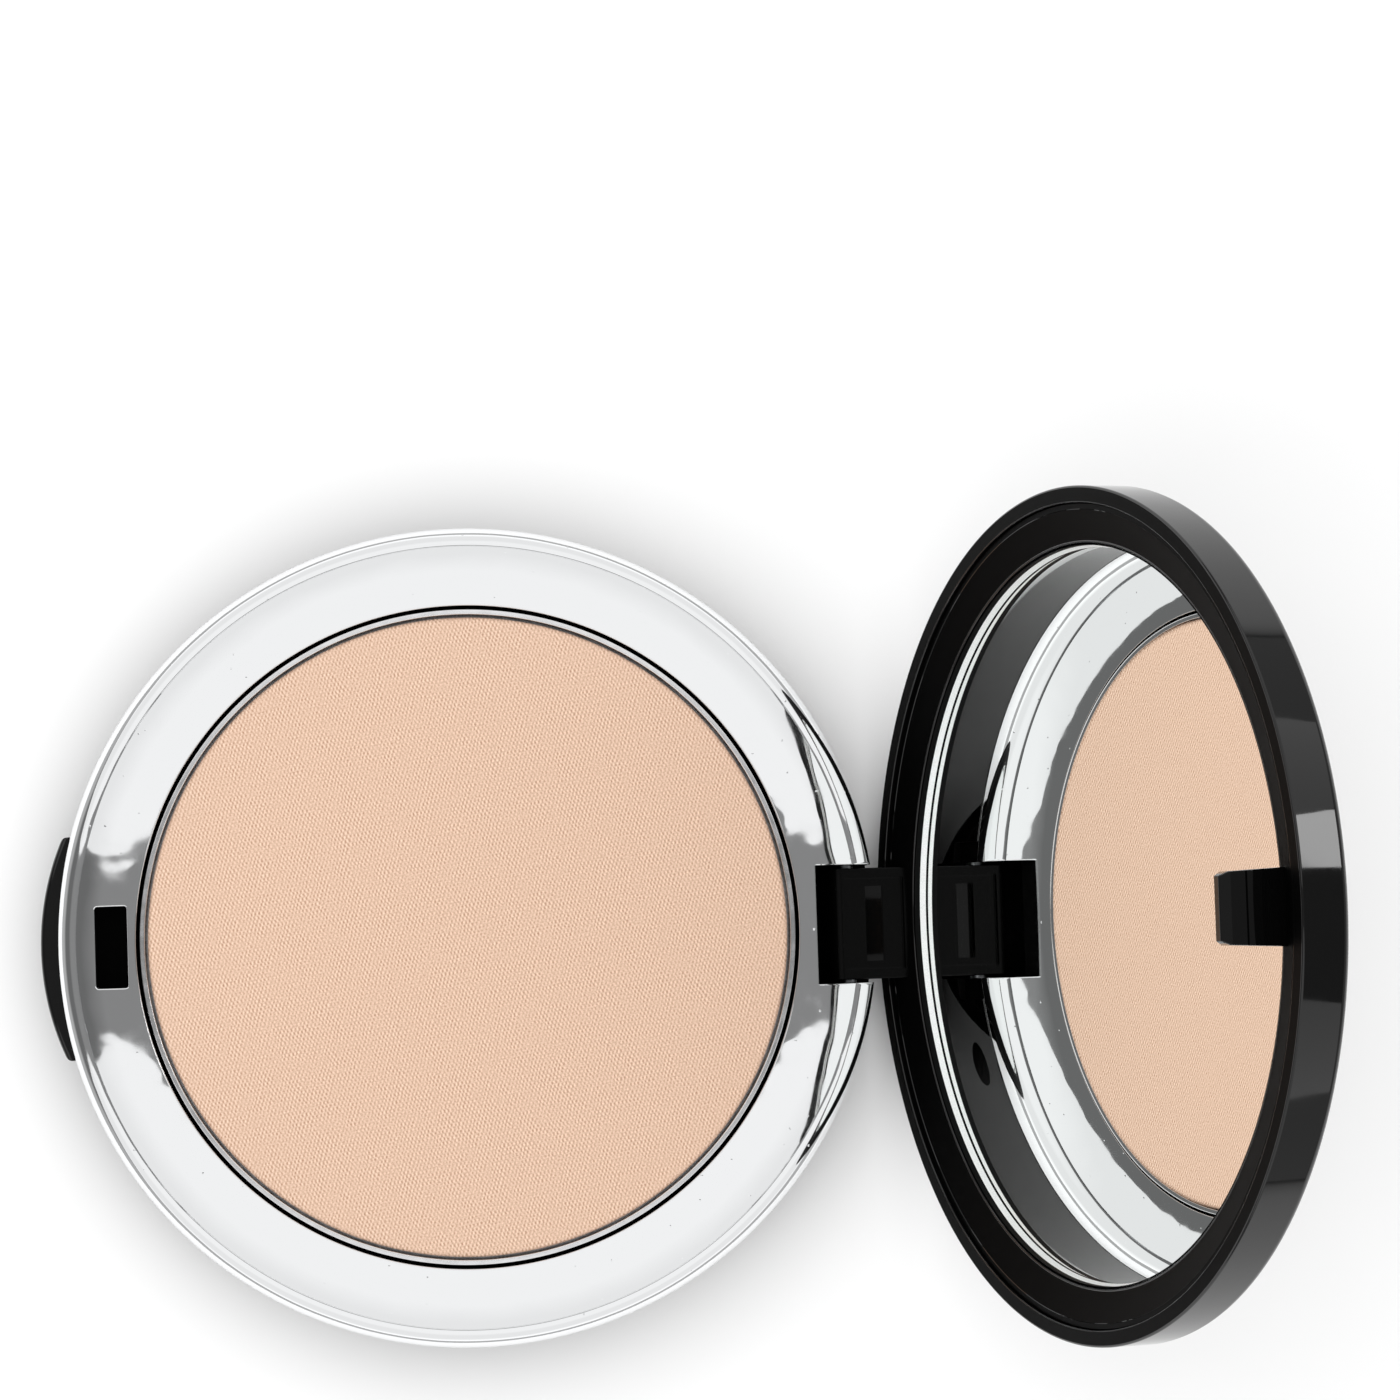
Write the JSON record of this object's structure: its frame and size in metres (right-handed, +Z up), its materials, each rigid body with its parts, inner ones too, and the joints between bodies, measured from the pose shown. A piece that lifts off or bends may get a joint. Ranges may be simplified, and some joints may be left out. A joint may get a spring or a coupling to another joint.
{
  "type": "powder compact",
  "caption": "Round pressed powder compact with a hinged mirror lid that stands open and a push-button latch.",
  "frame": {"origin": "centre of the flat face that the base rests on", "axes": "+Z up; the hinge is on the +X side and its axis is parallel to Y; the push button is on the -X side"},
  "size_m": [0.1105, 0.076, 0.0717],
  "materials": {
    "metallised_ring": "vacuum metallised, mirror bright",
    "black_plastic": "high gloss black",
    "pan_aluminium": "drawn, bright",
    "pressed_powder": "matt pressed powder with a fine cloth texture",
    "mirror": "silvered glass",
    "spring_steel": "drawn",
    "adhesive": "double-sided tissue tape",
    "label_paper": "blank, semi-matt"
  },
  "bodies": {
    "base": {"base_shell": "black_plastic", "base_deck": "metallised_ring", "powder_pan": "pan_aluminium", "powder_cake": "pressed_powder", "pan_adhesive": "adhesive", "button_spring": "spring_steel", "hinge_pin": "spring_steel", "base_label": "label_paper"},
    "lid": {"lid_cover": "black_plastic", "lid_frame": "black_plastic", "mirror_glass": "mirror", "mirror_adhesive": "adhesive"},
    "button": {"push_button": "black_plastic"}
  },
  "joints": [
    {"name": "lid_hinge", "type": "hinge", "parent": "base", "child": "lid", "pos_m": [0.0354, 0, 0.00573], "axis": [0, 1, 0], "range_deg": [-112, 0]},
    {"name": "button_press", "type": "slide", "parent": "base", "child": "button", "axis": [1, 0, 0], "range_m": [0, 0.001], "stiffness_N_per_m": 1500, "springref_m": -0.0005, "deforming": ["button_spring"]}
  ]
}
